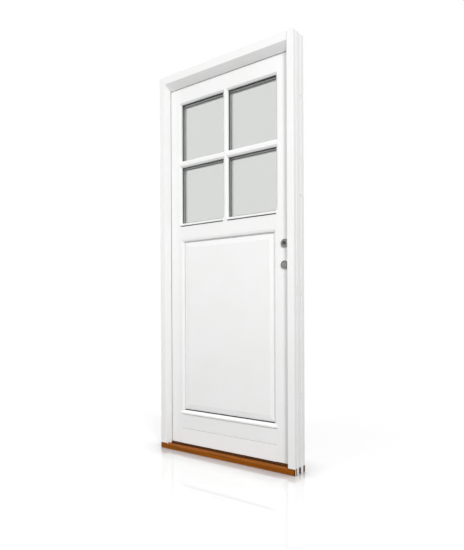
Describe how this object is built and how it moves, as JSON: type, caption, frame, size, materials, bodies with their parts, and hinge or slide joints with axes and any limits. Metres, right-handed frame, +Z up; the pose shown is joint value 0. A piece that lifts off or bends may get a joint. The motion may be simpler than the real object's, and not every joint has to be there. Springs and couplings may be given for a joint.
{
  "type": "half glazed entrance door",
  "caption": "Half glazed painted timber entrance door in its frame: glazed lights above, raised panel below, hardwood sill, leaf hinged on the left, opening inwards.",
  "frame": {"origin": "middle of the underside of the sill", "axes": "+Z up, front (outside) towards -Y, +X towards the lock side"},
  "size_m": [0.888, 0.1145, 2.118],
  "materials": {
    "painted_wood": "semi-gloss white paint",
    "oiled_hardwood": "oiled",
    "clear_glass": "clear",
    "dark_rubber": "matt",
    "pale_rubber": "matt",
    "spacer_metal": "mill",
    "threshold_metal": "dark anodised",
    "brushed_metal": "brushed"
  },
  "bodies": {
    "frame": {"left_jamb": "painted_wood", "right_jamb": "painted_wood", "frame_head": "painted_wood", "sill": "oiled_hardwood", "threshold_strip": "threshold_metal", "left_jamb_seal": "pale_rubber", "right_jamb_seal": "pale_rubber", "head_seal": "pale_rubber", "strike_plate": "brushed_metal", "frame_hinge_bottom": "brushed_metal", "frame_hinge_middle": "brushed_metal", "frame_hinge_top": "brushed_metal"},
    "leaf": {"hinge_stile": "painted_wood", "lock_stile": "painted_wood", "top_rail": "painted_wood", "lock_rail": "painted_wood", "bottom_rail": "painted_wood", "vertical_glazing_bar": "painted_wood", "left_glazing_bar": "painted_wood", "right_glazing_bar": "painted_wood", "top_left_glass": "clear_glass", "top_right_glass": "clear_glass", "lower_left_glass": "clear_glass", "lower_right_glass": "clear_glass", "glass_spacers": "spacer_metal", "outside_gaskets": "dark_rubber", "inside_gaskets": "dark_rubber", "left_weather_bead": "painted_wood", "right_weather_bead": "painted_wood", "inside_glazing_beads": "painted_wood", "panel": "painted_wood", "panel_moulding": "painted_wood", "panel_weather_bead": "painted_wood", "inside_panel_beads": "painted_wood", "drip_board": "painted_wood", "lock_faceplate": "brushed_metal", "outside_handle_rose": "brushed_metal", "outside_cylinder_rose": "brushed_metal", "inside_handle_rose": "brushed_metal", "inside_cylinder_rose": "brushed_metal", "lock_cylinder": "brushed_metal", "leaf_hinge_bottom": "brushed_metal", "leaf_hinge_middle": "brushed_metal", "leaf_hinge_top": "brushed_metal"}
  },
  "joints": [
    {"name": "leaf_hinge", "type": "hinge", "parent": "frame", "child": "leaf", "pos_m": [-0.40715, 0.06, 1], "axis": [0, 0, 1], "range_deg": [0, 105]}
  ]
}
